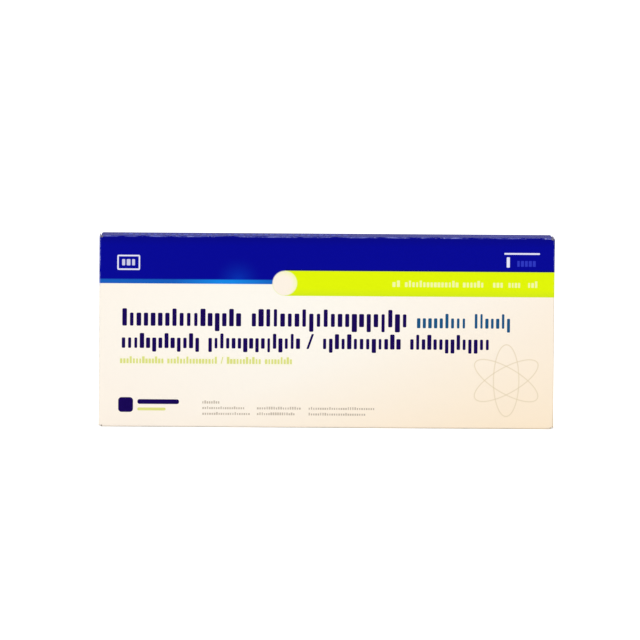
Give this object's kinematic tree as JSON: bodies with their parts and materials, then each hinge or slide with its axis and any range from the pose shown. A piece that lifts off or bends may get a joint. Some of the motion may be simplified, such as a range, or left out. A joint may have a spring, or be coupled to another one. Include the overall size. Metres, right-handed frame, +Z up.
{
  "type": "rapid test carton",
  "caption": "Flat rectangular folding carton with a tuck-in end closure at each end, standing on a long narrow side, with the contents of a rapid test inside.",
  "frame": {"origin": "centre of the bottom panel's outside face, at the middle of the carton's footprint", "axes": "+X along the carton's length to its right end, -Y out of the printed front panel, +Z up"},
  "size_m": [0.19, 0.022, 0.08],
  "materials": {
    "carton_board": "printed and lightly varnished folding boxboard",
    "leaflet_paper": "uncoated",
    "pouch_foil": "satin foil laminate",
    "tube_plastic": "translucent, soft",
    "tip_plastic": "translucent, soft",
    "ampoule_plastic": "translucent, soft",
    "web_paper": "smooth medical paper",
    "web_film": "clear film",
    "swab_plastic": "moulded",
    "swab_fibre": "flocked"
  },
  "bodies": {
    "carton": {"carton_sleeve": "carton_board", "instruction_leaflet": "leaflet_paper", "foil_pouch": "pouch_foil", "extraction_tube": "tube_plastic", "dropper_tip": "tip_plastic", "buffer_ampoule": "ampoule_plastic", "swab_pouch_paper": "web_paper", "swab_pouch_film": "web_film", "swab_stick": "swab_plastic", "swab_bud": "swab_fibre"},
    "right_closure": {"right_closure": "carton_board"},
    "right_tuck_flap": {"right_tuck_flap": "carton_board"},
    "left_closure": {"left_closure": "carton_board"},
    "left_tuck_flap": {"left_tuck_flap": "carton_board"}
  },
  "joints": [
    {"name": "right_closure_hinge", "type": "hinge", "parent": "carton", "child": "right_closure", "pos_m": [0.09477, 0.01077, 0.04], "axis": [0, 0, 1], "range_deg": [0, 120]},
    {"name": "right_tuck_crease", "type": "hinge", "parent": "right_closure", "child": "right_tuck_flap", "pos_m": [0.09445, -0.00955, 0.04], "axis": [0, 0, 1], "range_deg": [-90, 0]},
    {"name": "left_closure_hinge", "type": "hinge", "parent": "carton", "child": "left_closure", "pos_m": [-0.09477, -0.01077, 0.04], "axis": [0, 0, 1], "range_deg": [0, 120]},
    {"name": "left_tuck_crease", "type": "hinge", "parent": "left_closure", "child": "left_tuck_flap", "pos_m": [-0.09445, 0.00955, 0.04], "axis": [0, 0, 1], "range_deg": [-90, 0]}
  ],
  "couplings": [
    {"joint": "right_tuck_crease", "follows": "right_closure_hinge", "ratio": -0.75},
    {"joint": "left_tuck_crease", "follows": "left_closure_hinge", "ratio": -0.75}
  ]
}
